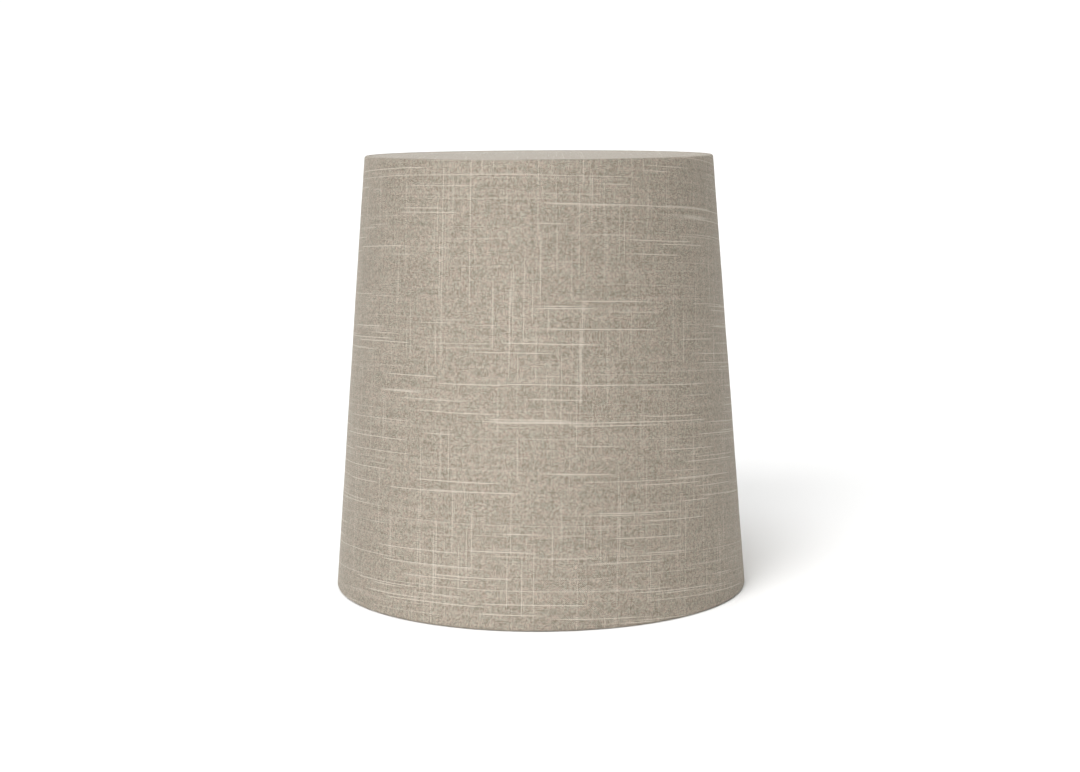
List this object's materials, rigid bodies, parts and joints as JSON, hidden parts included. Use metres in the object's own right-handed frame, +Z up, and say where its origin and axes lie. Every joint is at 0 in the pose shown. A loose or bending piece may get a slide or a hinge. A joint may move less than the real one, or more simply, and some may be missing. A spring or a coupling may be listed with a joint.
{
  "type": "lamp shade",
  "caption": "Tapered closed-top lamp shade of slub linen-look fabric on a stiff lining, with rolled edges, wire rings and a spoked carrier ring for a screw lampholder.",
  "frame": {"origin": "centre of the circle that the bottom edge stands on", "axes": "+Z up along the shade's axis, -Y to the front, the seam at +Y"},
  "size_m": [0.336, 0.336, 0.35],
  "materials": {
    "linen_fabric": "matt slub weave, sand taupe",
    "lining_laminate": "satin white laminate sheet",
    "top_board": "matt white board",
    "coated_wire": "white powder coat over steel",
    "clear_tape": "double-sided tape",
    "hot_glue": "milky set glue"
  },
  "bodies": {
    "root": {"side_cover": "linen_fabric", "top_cover": "linen_fabric", "side_lining": "lining_laminate", "top_board": "top_board", "cover_seam_tape": "clear_tape", "lining_seam_tape": "clear_tape", "top_ring_tape": "clear_tape", "bottom_ring_tape": "clear_tape", "top_glue_bead": "hot_glue", "top_ring": "coated_wire", "bottom_ring": "coated_wire", "carrier_ring": "coated_wire", "spoke_1": "coated_wire", "spoke_2": "coated_wire", "spoke_3": "coated_wire", "rim_welds": "coated_wire", "hub_welds": "coated_wire"}
  },
  "joints": []
}
